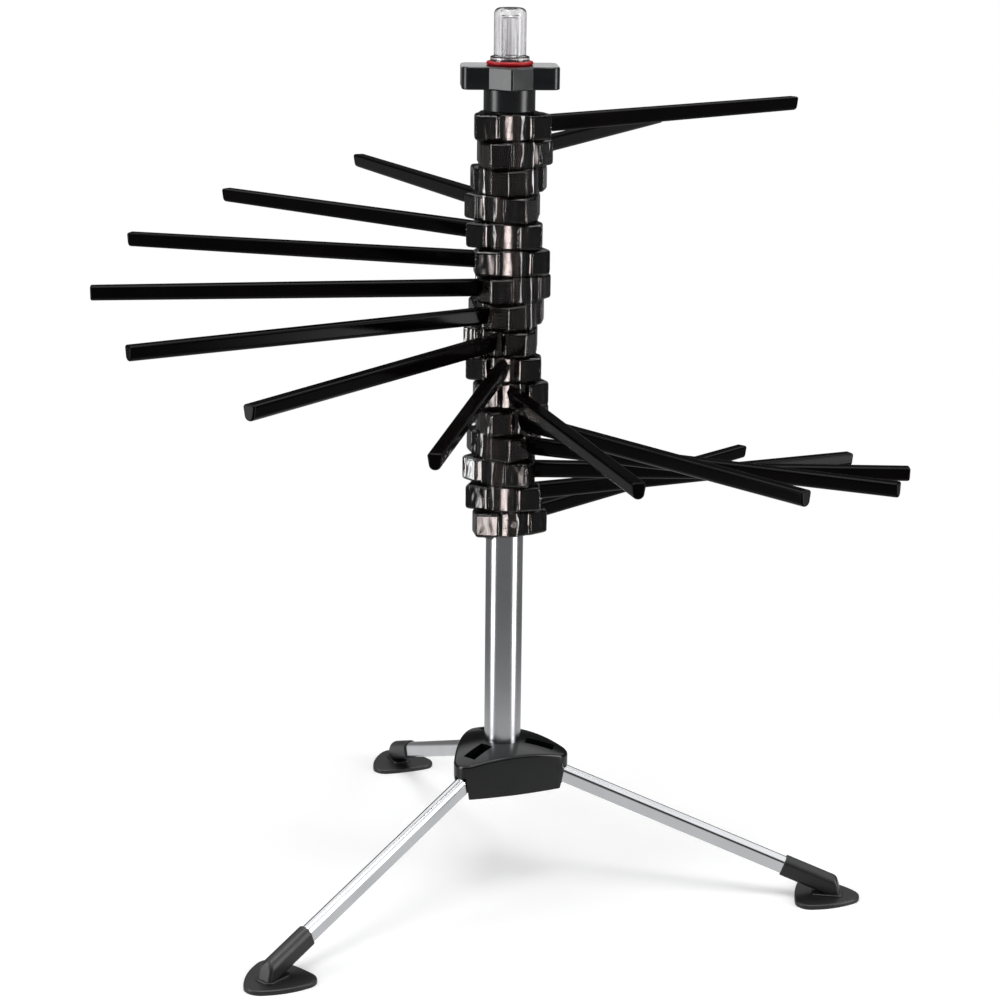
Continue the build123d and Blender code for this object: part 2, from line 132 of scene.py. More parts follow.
# One moulded or drawn surface: a base colour that drifts a little, a roughness that
# follows the grain, and a fine relief whose grain is given in mm.
def surfaceMaterial(name, user):
    material, tree = newMaterial(name)
    place = addNode(tree, "ShaderNodeTexCoord")
    stretched = addNode(
        tree, "ShaderNodeMapping", {"Scale": user.get("stretch", (1, 1, 1))},
        {"Vector": place.outputs["Object"]},
    )
    drift = addNode(
        tree, "ShaderNodeTexNoise",
        {"Scale": perMm(user["driftMm"]), "Detail": patternUser["driftDetail"]},
        {"Vector": stretched.outputs["Vector"] if "driftAlong" in user else place.outputs["Object"]},
    )
    grain = addNode(
        tree, "ShaderNodeTexNoise",
        {"Scale": perMm(user["grainMm"]), "Detail": patternUser["grainDetail"]},
        {"Vector": stretched.outputs["Vector"]},
    )
    colours = addNode(tree, "ShaderNodeValToRGB", links={"Fac": drift.outputs["Fac"]})
    darkStop, lightStop = colours.color_ramp.elements
    darkStop.position, lightStop.position = patternUser["colourFrom"], patternUser["colourTo"]
    darkStop.color, lightStop.color = linearColour(user["dark"]), linearColour(user["light"])
    low, high = user["roughness"]
    roughness = addNode(
        tree, "ShaderNodeMapRange",
        {"From Min": patternUser["roughFrom"], "From Max": patternUser["roughTo"],
         "To Min": low, "To Max": high},
        {"Value": grain.outputs["Fac"]},
    )
    relief = addNode(
        tree, "ShaderNodeBump",
        {"Strength": user["relief"], "Distance": mm(user["reliefMm"])},
        {"Height": grain.outputs["Fac"]},
    )
    if "rippleMm" in user:
        # the slow sink and flow of a moulding, which bends what its flats mirror
        along = addNode(
            tree, "ShaderNodeMapping", {"Scale": user["rippleStretch"]},
            {"Vector": place.outputs["Object"]},
        )
        ripple = addNode(
            tree, "ShaderNodeTexNoise",
            {"Scale": perMm(user["rippleMm"]), "Detail": patternUser["rippleDetail"]},
            {"Vector": along.outputs["Vector"]},
        )
        relief = addNode(
            tree, "ShaderNodeBump", {"Strength": 1.0, "Distance": mm(user["rippleDepthMm"])},
            {"Height": ripple.outputs["Fac"], "Normal": relief.outputs["Normal"]},
        )
    colour = colours.outputs["Color"]
    if "paintedEdgeShade" in user:
        # painted shade: the colour darkens towards the edges, where a clear wall is seen edgeways
        facing = addNode(tree, "ShaderNodeLayerWeight", {"Blend": user["paintedEdgeShadeBlend"]})
        edgeShadeMix = addNode(
            tree, "ShaderNodeMix", {"data_type": "RGBA"}, {"Factor": facing.outputs["Facing"]}
        )
        inner, outer, mixed = edgeShadeMix.inputs[6], edgeShadeMix.inputs[7], edgeShadeMix.outputs[2]  # colour sockets
        tree.links.new(colour, inner)
        outer.default_value = linearColour(user["paintedEdgeShade"])
        colour = mixed
    shader = addNode(
        tree, "ShaderNodeBsdfPrincipled", user.get("shader", {}),
        {
            "Base Color": colour,
            "Roughness": roughness.outputs["Result"],
            "Normal": relief.outputs["Normal"],
        },
    )
    output = addNode(
        tree, "ShaderNodeOutputMaterial", links={"Surface": shader.outputs["BSDF"]}
    )
    if "depthColour" in user:
        depth = addNode(
            tree, "ShaderNodeVolumeAbsorption",
            {"Color": linearColour(user["depthColour"]), "Density": user["depthPerM"]},
        )
        tree.links.new(depth.outputs["Volume"], output.inputs["Volume"])
    return material


materialUser = {
    # Smoked SAN, moulded in polished tools: glass-clear skin, brown-black with depth
    "smokedSan": {
        "dark": "#cbbcb7", "light": "#d6c8c3", "driftMm": 14.0, "grainMm": 1.5,
        "roughness": (0.08, 0.13), "relief": 0.05, "reliefMm": 0.05,
        "rippleMm": 5.5, "rippleStretch": (1, 1, 0.45), "rippleDepthMm": 0.42,
        "shader": {"Transmission Weight": 1.0, "IOR": 1.57, "Specular IOR Level": 0.26},
        "depthColour": "#5a4844", "depthPerM": 300.0,
    },
    # The same SAN in thick arms, where the depth turns it all but black
    "blackSan": {
        "dark": "#030202", "light": "#060404", "driftMm": 30.0, "grainMm": 0.9,
        "roughness": (0.1, 0.16), "relief": 0.06, "reliefMm": 0.05,
        "shader": {"IOR": 1.57, "Specular IOR Level": 0.07},
    },
    # Black ABS off a polished tool: soft-edged reflections, bent by a slow ripple
    "polishedAbs": {
        "dark": "#0b0d0f", "light": "#111417", "driftMm": 20.0, "grainMm": 0.8,
        "roughness": (0.2, 0.26), "relief": 0.05, "reliefMm": 0.04,
        "rippleMm": 12.0, "rippleStretch": (0.25, 0.25, 1), "rippleDepthMm": 0.8,
        "shader": {"IOR": 1.54},
    },
    # Black ABS off a fine tool: the deep gloss of the hub, broken by a faint grain
    "satinAbs": {
        "dark": "#0a0b0c", "light": "#101112", "driftMm": 25.0, "grainMm": 0.35,
        "roughness": (0.12, 0.18), "relief": 0.06, "reliefMm": 0.03,
        "shader": {"IOR": 1.54, "Specular IOR Level": 0.35},
    },
    # Soft PVC feet: darker sheen, a fine grain that grips
    "softPvc": {
        "dark": "#0f0f10", "light": "#161617", "driftMm": 18.0, "grainMm": 0.4,
        "roughness": (0.34, 0.44), "relief": 0.15, "reliefMm": 0.05,
        "shader": {"IOR": 1.53},
    },
    # Satin anodised aluminium tube, drawn: lines along the post, coarser than real to show
    "satinAnodisedAluminium": {
        "dark": "#b9babd", "light": "#c4c5c8", "driftMm": 40.0, "grainMm": 0.25,
        "stretch": (1, 1, 0.02), "roughness": (0.18, 0.23), "relief": 0.05, "reliefMm": 0.02,
        "shader": {"Metallic": 1.0},
    },
    # Bright anodised aluminium legs: flats that mirror, a little softened
    "brightAnodisedAluminium": {
        "dark": "#d4d6d9", "light": "#dddfe2", "driftMm": 35.0, "grainMm": 0.5,
        "roughness": (0.12, 0.17), "relief": 0.02, "reliefMm": 0.005,
        "shader": {"Metallic": 1.0},
    },
    # Red silicone ring: even colour, soft bloom
    "redSilicone": {
        "dark": "#b0101a", "light": "#bd1620", "driftMm": 9.0, "grainMm": 0.3,
        "roughness": (0.3, 0.4), "relief": 0.1, "reliefMm": 0.03,
        "shader": {"IOR": 1.41},
    },
    # Clear cast acrylic wand: streaks along it, and painted shade that darkens its edges
    "clearAcrylic": {
        "dark": "#aaa6ab", "light": "#ffffff", "driftMm": 2.4, "grainMm": 4.0,
        "stretch": (1, 1, 0.04), "driftAlong": True,
        "roughness": (0.01, 0.03), "relief": 0.04, "reliefMm": 0.05,
        "rippleMm": 2.2, "rippleStretch": (1, 1, 0.06), "rippleDepthMm": 0.2,
        "paintedEdgeShade": "#252026", "paintedEdgeShadeBlend": 0.3,
        "shader": {"Transmission Weight": 1.0, "IOR": 1.49},
    },
    # Turned brass bush and plug: tool lines round them, coarser than real to show
    "turnedBrass": {
        "dark": "#b08d4a", "light": "#bd9a55", "driftMm": 12.0, "grainMm": 0.2,
        "stretch": (0.05, 0.05, 1), "roughness": (0.25, 0.35), "relief": 0.15, "reliefMm": 0.02,
        "shader": {"Metallic": 1.0},
    },
    # Zinc-plated steel screws, washer and pins
    "zincSteel": {
        "dark": "#9a9ca0", "light": "#a8aaae", "driftMm": 6.0, "grainMm": 0.2,
        "roughness": (0.22, 0.34), "relief": 0.1, "reliefMm": 0.02,
        "shader": {"Metallic": 1.0},
    },
}
materials = {name: surfaceMaterial(name, user) for name, user in materialUser.items()}
print("stage: materials made")


# Floor, world and lamps
stageUser = {
    "floorHalfM": 30.0,
    "floorColour": "#f4f4f4",
    "floorGlow": 0.24,
    "glowFromM": 0.2,
    "glowToM": 0.5,
    "floorMirrored": 0.68,
    "mirroredFromM": 0.16,
    "mirroredToM": 0.45,
    "worldColour": "#ffffff",
    "worldStrength": 0.4,
    "mirroredRoom": ((0.49, "#707070"), (0.53, "#303030"), (0.7, "#303030"), (0.78, "#ffffff")),
    "mirroredStrength": 1.2,
    "sideLampDistance": 1.3,
    "sideLampAngle": 70.0,
    "sideLampSize": (0.75, 1.6),
    "sideLampPower": 22.0,
    "lampAim": (0, 0, 0.25),
    "lampEdgeShare": 0.03,
    "lampFlatShare": 0.05,
    "stripAngles": (50, 105),
    "stripSize": (0.16, 1.4),
    "stripPower": 10.0,
    "frontLampPlace": (0, -1.0, 0.12),
    "frontLampAim": (0, 0, 0.12),
    "frontLampSize": (0.6, 0.45),
    "frontLampPower": 15.0,
    "frontLampColour": "#fff2ee",
    "backLampPlace": (0, 1.2, 0.6),
    "backLampAim": (0, 0, 0.46),
    "backLampSize": (1.4, 0.35),
    "backLampPower": 1.6,
    "topLampPlace": (0, -0.2, 1.9),
    "topLampSize": 1.0,
    "topLampPower": 14.0,
}


def makeFloor(user):
    bpy.ops.object.select_all(action="DESELECT")
    bpy.ops.mesh.primitive_plane_add(size=2 * user["floorHalfM"])
    floor = bpy.context.active_object
    floor.name = "studioFloor"
    material, tree = newMaterial("matteWhitePaper")
    # white paper: lit by the lamps round the rack, glowing evenly to white further out
    paper = addNode(tree, "ShaderNodeBsdfDiffuse", {"Color": linearColour(user["floorColour"])})
    glow = addNode(tree, "ShaderNodeEmission", {"Strength": user["floorGlow"]})
    lit = addNode(tree, "ShaderNodeAddShader")
    tree.links.new(paper.outputs["BSDF"], lit.inputs[0])
    tree.links.new(glow.outputs["Emission"], lit.inputs[1])
    white = addNode(tree, "ShaderNodeEmission", {"Strength": 1.0})
    place = addNode(tree, "ShaderNodeTexCoord")
    away = addNode(tree, "ShaderNodeVectorMath", {"operation": "LENGTH"})
    tree.links.new(place.outputs["Object"], away.inputs[0])
    fade = addNode(
        tree, "ShaderNodeMapRange",
        {"From Min": user["glowFromM"], "From Max": user["glowToM"],
         "interpolation_type": "SMOOTHSTEP"},
        {"Value": away.outputs["Value"]},
    )
    seen = addNode(tree, "ShaderNodeMixShader", links={"Fac": fade.outputs["Result"]})
    tree.links.new(lit.outputs["Shader"], seen.inputs[1])
    tree.links.new(white.outputs["Emission"], seen.inputs[2])
    # mirrors see the paper only near the rack, and beyond it the lamps and their dark room
    paperMirrored = addNode(tree, "ShaderNodeEmission", {"Strength": user["floorMirrored"]})
    clear = addNode(tree, "ShaderNodeBsdfTransparent")
    edge = addNode(
        tree, "ShaderNodeMapRange",
        {"From Min": user["mirroredFromM"], "From Max": user["mirroredToM"],
         "interpolation_type": "SMOOTHSTEP"},
        {"Value": away.outputs["Value"]},
    )
    mirrored = addNode(tree, "ShaderNodeMixShader", links={"Fac": edge.outputs["Result"]})
    tree.links.new(paperMirrored.outputs["Emission"], mirrored.inputs[1])
    tree.links.new(clear.outputs["BSDF"], mirrored.inputs[2])
    rays = addNode(tree, "ShaderNodeLightPath")
    direct = addNode(tree, "ShaderNodeMixShader", links={"Fac": rays.outputs["Is Camera Ray"]})
    tree.links.new(paper.outputs["BSDF"], direct.inputs[1])
    tree.links.new(seen.outputs["Shader"], direct.inputs[2])
    shown = addNode(tree, "ShaderNodeMixShader", links={"Fac": rays.outputs["Is Glossy Ray"]})
    tree.links.new(direct.outputs["Shader"], shown.inputs[1])
    tree.links.new(mirrored.outputs["Shader"], shown.inputs[2])
    addNode(tree, "ShaderNodeOutputMaterial", links={"Surface": shown.outputs["Shader"]})
    floor.data.materials.append(material)


def makeWorld(user):
    world = bpy.data.worlds.new("studioWorld")
    world.use_nodes = True
    tree = world.node_tree
    tree.nodes.clear()
    colour = linearColour(user["worldColour"])
    rays = addNode(tree, "ShaderNodeLightPath")
    soft = addNode(tree, "ShaderNodeBackground", {"Color": colour, "Strength": user["worldStrength"]})
    # mirrors see a dim floor, a dark room at eye level and the white ceiling above it
    place = addNode(tree, "ShaderNodeTexCoord")
    height = addNode(tree, "ShaderNodeSeparateXYZ", {}, {"Vector": place.outputs["Generated"]})
    share = addNode(tree, "ShaderNodeMapRange", {"From Min": -1.0}, {"Value": height.outputs["Z"]})
    room = addNode(tree, "ShaderNodeValToRGB", {}, {"Fac": share.outputs["Result"]})
    steps = room.color_ramp.elements
    while len(steps) < len(user["mirroredRoom"]):
        steps.new(0.5)  # placed below
    for step, (position, shade) in zip(steps, user["mirroredRoom"]):
        step.position, step.color = position, linearColour(shade)
    dim = addNode(
        tree, "ShaderNodeBackground", {"Strength": user["mirroredStrength"]},
        {"Color": room.outputs["Color"]},
    )
    white = addNode(tree, "ShaderNodeBackground", {"Color": colour, "Strength": 1.0})
    mirror = addNode(tree, "ShaderNodeMixShader", links={"Fac": rays.outputs["Is Glossy Ray"]})
    tree.links.new(soft.outputs["Background"], mirror.inputs[1])
    tree.links.new(dim.outputs["Background"], mirror.inputs[2])
    through = addNode(tree, "ShaderNodeMixShader", links={"Fac": rays.outputs["Is Transmission Ray"]})
    tree.links.new(mirror.outputs["Shader"], through.inputs[1])
    tree.links.new(white.outputs["Background"], through.inputs[2])
    seen = addNode(tree, "ShaderNodeMixShader", links={"Fac": rays.outputs["Is Camera Ray"]})
    tree.links.new(through.outputs["Shader"], seen.inputs[1])
    tree.links.new(white.outputs["Background"], seen.inputs[2])
    addNode(tree, "ShaderNodeOutputWorld", links={"Surface": seen.outputs["Shader"]})
    bpy.context.scene.world = world


def addLamp(name, place, aim, size, power, edgeShare=1.0, flatShare=0.0):
    data = bpy.data.lights.new(name, "AREA")
    data.shape = "RECTANGLE"
    data.size, data.size_y = size
    data.energy = power
    if edgeShare < 1:
        # a softbox that is brightest down its middle and falls off to both sides
        data.use_nodes = True
        tree = data.node_tree
        tree.nodes.clear()
        spot = addNode(tree, "ShaderNodeNewGeometry")
        across = addNode(tree, "ShaderNodeSeparateXYZ", {}, {"Vector": spot.outputs["Parametric"]})
        offCentre = addNode(tree, "ShaderNodeMath", {"operation": "SUBTRACT"})
        half = 0.5  # the way from one side of the lamp to its middle
        offCentre.inputs[1].default_value = half
        tree.links.new(across.outputs["X"], offCentre.inputs[0])
        off = addNode(tree, "ShaderNodeMath", {"operation": "ABSOLUTE"})
        tree.links.new(offCentre.outputs["Value"], off.inputs[0])
        strength = addNode(
            tree, "ShaderNodeMapRange",
            {"From Min": half, "From Max": flatShare, "To Min": edgeShare, "To Max": 1.0,
             "interpolation_type": "SMOOTHSTEP"},
            {"Value": off.outputs["Value"]},
        )
        glow = addNode(tree, "ShaderNodeEmission", {}, {"Strength": strength.outputs["Result"]})
        addNode(tree, "ShaderNodeOutputLight", {}, {"Surface": glow.outputs["Emission"]})
    lamp = bpy.data.objects.new(name, data)
    bpy.context.scene.collection.objects.link(lamp)
    lamp.location = place
    lamp.rotation_euler = (Vector(aim) - Vector(place)).to_track_quat("-Z", "Y").to_euler()
    lamp.visible_camera = False
    return lamp


def makeLamps(user):
    middle = Vector(user["lampAim"])
    falloff = (user["lampEdgeShare"], user["lampFlatShare"])
    ringGroup = bpy.data.collections.new("rings")
    allButRings = bpy.data.collections.new("allButRings")
    allButRings.children.link(ringGroup)
    allButRings.collection_children[0].light_linking.link_state = "EXCLUDE"

    def beside(angle):
        turn = radians(270 + angle)  # the viewer stands at 270 degrees
        return middle + Vector((cos(turn), sin(turn), 0)) * user["sideLampDistance"]

    # wide softboxes for all but the rings, which are lit by narrow strips instead
    for name, side in (("left", -1), ("right", 1)):
        softbox = addLamp(
            name + "Softbox", beside(side * user["sideLampAngle"]), middle,
            user["sideLampSize"], user["sideLampPower"], *falloff,
        )
        softbox.light_linking.receiver_collection = allButRings
        for angle in user["stripAngles"]:
            strip = addLamp(
                f"{name}Strip{angle}", beside(side * angle), middle,
                user["stripSize"], user["stripPower"], *falloff,
            )
            strip.light_linking.receiver_collection = ringGroup
    addLamp(
        "topSoftbox", user["topLampPlace"], middle, (user["topLampSize"],) * 2, user["topLampPower"]
    )
    # a low front strip that only the rings catch, for the light down the middle of the stack
    front = addLamp(
        "frontStrip", user["frontLampPlace"], user["frontLampAim"], user["frontLampSize"],
        user["frontLampPower"], *falloff,
    )
    front.data.color = linearColour(user["frontLampColour"])[:3]
    front.light_linking.receiver_collection = ringGroup
    # and one behind that only the knob catches, for the light along its top
    back = addLamp(
        "backStrip", user["backLampPlace"], user["backLampAim"], user["backLampSize"],
        user["backLampPower"],
    )
    knobGroup = bpy.data.collections.new("knob")
    back.light_linking.receiver_collection = knobGroup
    return ringGroup, knobGroup


makeFloor(stageUser)
makeWorld(stageUser)
ringGroup, knobGroup = makeLamps(stageUser)
print("stage: studio set")

# Every CAD node starts with the finish of its real material
nodeFinish = {
    "post_tube": "satinAnodisedAluminium", "top_bush": "turnedBrass",
    "post_foot_plug": "turnedBrass", "clamp_collar": "polishedAbs",
    "clamp_knob": "polishedAbs", "wand_seat_ring": "redSilicone",
    "pasta_wand": "clearAcrylic", "hub_body": "satinAbs",
}
prefixFinish = {
    "ring_": "smokedSan", "arm_": "blackSan", "leg_tube": "brightAnodisedAluminium",
    "leg_knuckle": "satinAbs", "foot_": "softPvc",
}
nodeBody = {
    member: body
    for body, members in frame["record"]["behaviour"]["bodies"].items() for member in members
}


def finishOf(nodeName):
    if nodeName == "ring_lock_screw":
        return "zincSteel"
    for prefix, finish in prefixFinish.items():
        if nodeName.startswith(prefix):
            return finish
    return nodeFinish.get(nodeName, "zincSteel")


for nodeName, node in frame["nodes"].items():
    for slot in node.material_slots:
        slot.material = materials[finishOf(nodeName)]
print("stage: CAD nodes finished")


# Modelling helpers. Pieces are drawn in millimetres and brought to metres at the end.
hair, near, loose = 0.001, 0.01, 0.1  # mm a point may be off and still be picked
cutOver = 5  # mm that a cutting tool stands past what it cuts
smallSides, middleSides, largeSides, fullSides = 48, 64, 96, 128  # sides of a turned piece
sharpAngle = 35  # degrees past which an edge stays crisp


def deselectAll():
    if bpy.context.mode != "OBJECT":
        bpy.ops.object.mode_set(mode="OBJECT")
    bpy.ops.object.select_all(action="DESELECT")


def choose(piece):
    deselectAll()
    bpy.context.view_layer.objects.active = piece
    piece.select_set(True)


def applyPlace():
    bpy.ops.object.transform_apply(location=True, rotation=True, scale=True)


def editAll(piece):
    choose(piece)
    bpy.ops.object.mode_set(mode="EDIT")
    bpy.ops.mesh.select_all(action="SELECT")


# These two end the edit that a pick began
def movePicked(x, y, z):
    bpy.ops.transform.translate(value=(x, y, z))
    bpy.ops.object.mode_set(mode="OBJECT")


def resizePicked(x, y, z):
    bpy.ops.transform.resize(value=(x, y, z), center_override=(0, 0, 0))
    bpy.ops.object.mode_set(mode="OBJECT")


def cadBox(nodeName):
    low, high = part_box(nodeName)
    return low * mmPerMetre, high * mmPerMetre


def addDrum(radius, bottom, top, sides=largeSides, centre=(0, 0)):
    deselectAll()
    bpy.ops.mesh.primitive_cone_add(
        vertices=sides, radius1=radius, radius2=radius,
        depth=top - bottom, location=(*centre, (top + bottom) / 2),
    )
    applyPlace()
    return bpy.context.active_object


def addBlock(low, high):
    deselectAll()
    bpy.ops.mesh.primitive_cube_add(
        size=1, location=[(a + b) / 2 for a, b in zip(low, high)],
        scale=[b - a for a, b in zip(low, high)],
    )
    applyPlace()
    return bpy.context.active_object


# Each pick leaves the piece in edit mode with only what passes the test selected
def startPick(piece, kind):
    choose(piece)
    bpy.ops.object.mode_set(mode="EDIT")
    bpy.ops.mesh.select_mode(type=kind)
    bpy.ops.mesh.select_all(action="DESELECT")
    bpy.ops.object.mode_set(mode="OBJECT")


def pickPoints(piece, test):
    startPick(piece, "VERT")
    for point in piece.data.vertices:
        point.select = test(point.co)
    bpy.ops.object.mode_set(mode="EDIT")


def pickEdges(piece, test):
    startPick(piece, "EDGE")
    points = piece.data.vertices
    for edge in piece.data.edges:
        a, b = (points[index].co for index in edge.vertices)
        edge.select = test(a, b)
    bpy.ops.object.mode_set(mode="EDIT")


def pickFaces(piece, test):
    startPick(piece, "FACE")
    for face in piece.data.polygons:
        face.select = test(face.center, face.normal)
    bpy.ops.object.mode_set(mode="EDIT")


def roundPicked(amount, segments):
    bpy.ops.mesh.bevel(offset=amount, segments=segments, affect="EDGES", clamp_overlap=True)
    bpy.ops.object.mode_set(mode="OBJECT")


def level(a, b, height):
    return abs(a.z - height) < hair and abs(b.z - height) < hair


def upright(a, b):
    return hypot(a.x - b.x, a.y - b.y) < hair and abs(a.z - b.z) > hair


def alongX(a, b):
    return abs(a.x - b.x) > loose


def combine(piece, tool, operation):
    choose(piece)
    step = piece.modifiers.new("shape", "BOOLEAN")
    step.operation = operation
    step.object = tool
    step.solver = "EXACT"
    bpy.ops.object.modifier_apply(modifier=step.name)
    bpy.data.objects.remove(tool)


def tidyFlats(piece, angle=0.5):
    editAll(piece)
    bpy.ops.mesh.remove_doubles(threshold=2 * hair)
    bpy.ops.mesh.dissolve_limited(angle_limit=radians(angle))
    bpy.ops.object.mode_set(mode="OBJECT")


def copyPiece(piece, turnDegrees=0.0, lift=0.0, tiltDegrees=0.0, out=0.0):
    made = piece.copy()
    made.data = piece.data.copy()
    bpy.context.scene.collection.objects.link(made)
    turn = radians(turnDegrees)
    made.rotation_euler = (0, radians(tiltDegrees), turn)
    made.location = (out * cos(turn), out * sin(turn), lift)
    choose(made)
    applyPlace()
    return made


# Turned shapes: a circle pulled up through its (radius, height) steps
def turnShape(steps, sides=largeSides):
    deselectAll()
    radius, height = steps[0]
    bpy.ops.mesh.primitive_circle_add(
        vertices=sides, radius=radius, fill_type="NOTHING", location=(0, 0, height)
    )
    applyPlace()
    piece = bpy.context.active_object
    bpy.ops.object.mode_set(mode="EDIT")
    bpy.ops.mesh.select_mode(type="VERT")
    bpy.ops.mesh.select_all(action="SELECT")
    for nextRadius, nextHeight in steps[1:]:
        bpy.ops.mesh.extrude_region_move(
            TRANSFORM_OT_translate={"value": (0, 0, nextHeight - height)}
        )
        if nextRadius == 0:
            bpy.ops.mesh.merge(type="CENTER")
            break
        share = nextRadius / radius
        bpy.ops.transform.resize(value=(share, share, 1))
        radius, height = nextRadius, nextHeight
    bpy.ops.object.mode_set(mode="OBJECT")
    return piece


# Leaves the piece smooth, in metres, on its body, in the place of its node
def finishPiece(piece, name, nodeName):
    editAll(piece)
    bpy.ops.mesh.remove_doubles(threshold=hair / 2)
    bpy.ops.mesh.normals_make_consistent(inside=False)
    bpy.ops.object.mode_set(mode="OBJECT")
    piece.scale = (metresPerMm,) * 3
    applyPlace()
    bpy.ops.object.shade_smooth_by_angle(angle=radians(sharpAngle))
    # the wide faces keep their own slope and the small rounds turn between them
    weighted = piece.modifiers.new("weighted", "WEIGHTED_NORMAL")
    weighted.keep_sharp = True
    bpy.ops.object.modifier_apply(modifier=weighted.name)
    piece.name = name
    piece.data.name = name
    piece.data.materials.clear()
    piece.data.materials.append(materials[finishOf(nodeName)])
    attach(piece, nodeBody[nodeName])
    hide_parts(nodeName)
    return piece


# Rings: a drum with three roof-shaped grips, drawn with its arm along +X
ringUser = {
    "count": 16, "firstArm": 41.05, "armStep": 24.51,
    "bore": 10.08, "radius": 15.9, "height": 13.9, "rimRound": 1.2,
    "lobeHalfWidth": 9.6, "lobeRidge": 23.3, "lobeShoulder": 15.7, "lobeRoot": 11.0,
    "lobeInset": 0.3, "ridgeRound": 0.8, "shoulderRound": 1.3, "lobeEdgeRound": 1.8,
    "gripTurns": (60, 180, 300), "foldReach": 3.5,
    "lugInner": 11.48, "lugOuter": 13.68, "lugHeight": 2.0, "lugHalfAngle": 12.0,
    "lugRoot": 1, "wedgeReach": 30, "wedgeHalfHeight": 6,
}


def onFold(point, corner, inward, reach):
    away = Vector((point.x - corner[0], abs(point.y) - corner[1]))
    return away.length < reach and abs(away.x * inward.y - away.y * inward.x) < near


def makeLobe(user):
    low, high = user["lobeInset"], user["height"] - user["lobeInset"]
    half = user["lobeHalfWidth"]
    lobe = addBlock((user["lobeRoot"], -half, low), (user["lobeRidge"], half, high))
    editAll(lobe)
    bpy.ops.mesh.bisect(plane_co=(0, 0, 0), plane_no=(0, 1, 0))
    bpy.ops.object.mode_set(mode="OBJECT")
    # the outer corners come back to the shoulder, which leaves the ridge in the middle
    pickPoints(lobe, lambda p: p.x > user["lobeRidge"] - loose and abs(p.y) > half - loose)
    movePicked(user["lobeShoulder"] - user["lobeRidge"], 0, 0)
    pickEdges(lobe, lambda a, b: (level(a, b, low) or level(a, b, high))
              and max(a.x, b.x) > user["lobeRoot"] + loose and max(abs(a.y), abs(b.y)) > hair)
    roundPicked(user["lobeEdgeRound"], segments=6)
    # then the ridge and the shoulders, with the short edges that carry them over the rims
    slope = Vector((half, user["lobeRidge"] - user["lobeShoulder"])).normalized()
    shoulderInward = -(slope + Vector((0, 1))).normalized()
    folds = (
        ((user["lobeRidge"], 0), Vector((-1, 0)), user["ridgeRound"]),
        ((user["lobeShoulder"], half), shoulderInward, user["shoulderRound"]),
    )
    reach = user["foldReach"]
    for corner, inward, amount in folds:
        pickEdges(lobe, lambda a, b: onFold(a, corner, inward, reach)
                  and onFold(b, corner, inward, reach))
        roundPicked(amount, segments=4)
    return lobe


def makeRing(user):
    ring = addDrum(user["radius"], 0, user["height"], fullSides)
    pickEdges(ring, lambda a, b: level(a, b, 0) or level(a, b, user["height"]))
    roundPicked(user["rimRound"], segments=5)
    lobe = makeLobe(user)
    for turn in user["gripTurns"]:
        combine(ring, copyPiece(lobe, turn), "UNION")
    bpy.data.objects.remove(lobe)
    combine(ring, addDrum(user["bore"], -cutOver, user["height"] + cutOver), "DIFFERENCE")
    lug = addDrum(user["lugOuter"], -user["lugHeight"], user["lugRoot"])
    combine(lug, addDrum(user["lugInner"], -cutOver, cutOver), "DIFFERENCE")
    # a wedge that opens away from the arm keeps the lug's stretch of that ring
    reach, lift = user["wedgeReach"], user["wedgeHalfHeight"]
    wedge = addBlock((-reach, -1, -lift), (0, 1, lift))
    pickPoints(wedge, lambda p: p.x < -loose)
    resizePicked(1, reach * tan(radians(user["lugHalfAngle"])), 1)
    pickPoints(wedge, lambda p: p.x > -loose)
    resizePicked(1, hair, 1)
    combine(lug, wedge, "INTERSECT")
    combine(ring, lug, "UNION")
    return ring


ringForm = makeRing(ringUser)
for number in range(1, ringUser["count"] + 1):
    ringNode = f"ring_{number:02d}"
    ringTop = cadBox(ringNode)[1].z
    turn = ringUser["firstArm"] + ringUser["armStep"] * (number - 1)
    ring = copyPiece(ringForm, turn, ringTop - ringUser["height"])
    ringGroup.objects.link(finishPiece(ring, f"smokedRing{number:02d}", ringNode))
bpy.data.objects.remove(ringForm)
ringGroup.objects.link(frame["nodes"]["ring_lock_screw"])
print("stage: rings made")

# Arms: a bar with a flat top, leaning sides and a round keel, drawn along +X
armUser = {
    "root": 12.4, "tip": 216.0, "middle": 6.2,
    "rootTopHalf": 4.317, "rootBottomHalf": 2.33, "rootHeight": 9.0,
    "tipTopHalf": 3.727, "tipBottomHalf": 2.47, "tipHeight": 7.8,
    "topRound": 1.55, "keelRound": 2.25, "endRound": 1.0,
}


def makeArm(user):
    arm = addBlock((user["root"], -1, -1), (user["tip"], 1, 1))
    for isTip in (False, True):
        end = "tip" if isTip else "root"
        for isTop in (False, True):
            half = user[end + ("TopHalf" if isTop else "BottomHalf")]
            lift = user[end + "Height"] / 2
            pickPoints(arm, lambda p: (p.x > user["tip"] / 2) == isTip and (p.z > 0) == isTop)
            resizePicked(1, half, lift)
    pickEdges(arm, lambda a, b: alongX(a, b) and a.z > 0)
    roundPicked(user["topRound"], segments=5)
    pickEdges(arm, lambda a, b: alongX(a, b) and a.z < 0)
    roundPicked(user["keelRound"], segments=8)
    tidyFlats(arm, angle=0.05)
    pickEdges(arm, lambda a, b: min(a.x, b.x) > user["tip"] - near)
    roundPicked(user["endRound"], segments=4)
    editAll(arm)
    movePicked(0, 0, user["middle"])
    return arm


armForm = makeArm(armUser)
for number in range(1, ringUser["count"] + 1):
    ringTop = cadBox(f"ring_{number:02d}")[1].z
    turn = ringUser["firstArm"] + ringUser["armStep"] * (number - 1)
    arm = copyPiece(armForm, turn, ringTop - ringUser["height"])
    finishPiece(arm, f"blackArm{number:02d}", f"arm_{number:02d}")
bpy.data.objects.remove(armForm)
print("stage: arms made")

